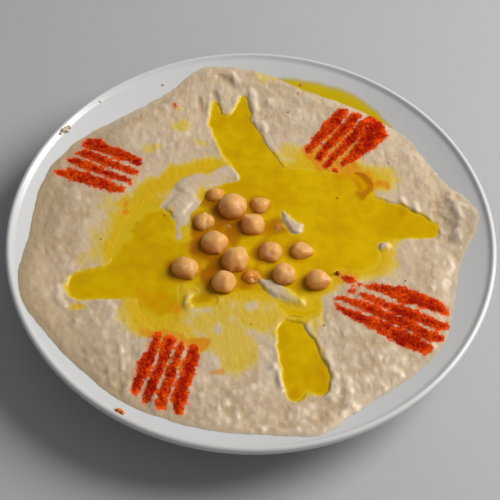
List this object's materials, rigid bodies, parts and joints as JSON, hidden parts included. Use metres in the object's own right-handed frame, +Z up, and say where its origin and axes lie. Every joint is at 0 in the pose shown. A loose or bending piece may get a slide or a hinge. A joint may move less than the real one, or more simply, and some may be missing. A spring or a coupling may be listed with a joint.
{
  "type": "plate of hummus",
  "caption": "Hummus spread on a round coupe plate with spoon strokes full of olive oil, chickpeas in the middle hollow and bands of paprika.",
  "frame": {"origin": "middle of the plate's foot, on the table", "axes": "+Z up, out of the plate; -Y towards the eater; the spoon strokes end near +Y, +X, -Y and -X"},
  "size_m": [0.21, 0.21, 0.0282],
  "materials": {
    "glaze": "smooth white gloss glaze on porcelain",
    "hummus_cream": "moist lumpy pale beige spread with bands of red paprika",
    "chickpea_skin": "moist, finely wrinkled tan skin",
    "olive_oil": "wet clear golden oil"
  },
  "bodies": {
    "root": {"plate": "glaze", "hummus": "hummus_cream", "chickpea_01": "chickpea_skin", "chickpea_02": "chickpea_skin", "chickpea_03": "chickpea_skin", "chickpea_04": "chickpea_skin", "chickpea_05": "chickpea_skin", "chickpea_06": "chickpea_skin", "chickpea_07": "chickpea_skin", "chickpea_08": "chickpea_skin", "chickpea_09": "chickpea_skin", "chickpea_10": "chickpea_skin", "chickpea_11": "chickpea_skin", "chickpea_12": "chickpea_skin", "chickpea_13": "chickpea_skin", "chickpea_14": "chickpea_skin", "chickpea_15": "chickpea_skin", "chickpea_16": "chickpea_skin", "oil_hollow": "olive_oil", "oil_bottom_stroke": "olive_oil", "oil_crescent": "olive_oil"}
  },
  "joints": []
}
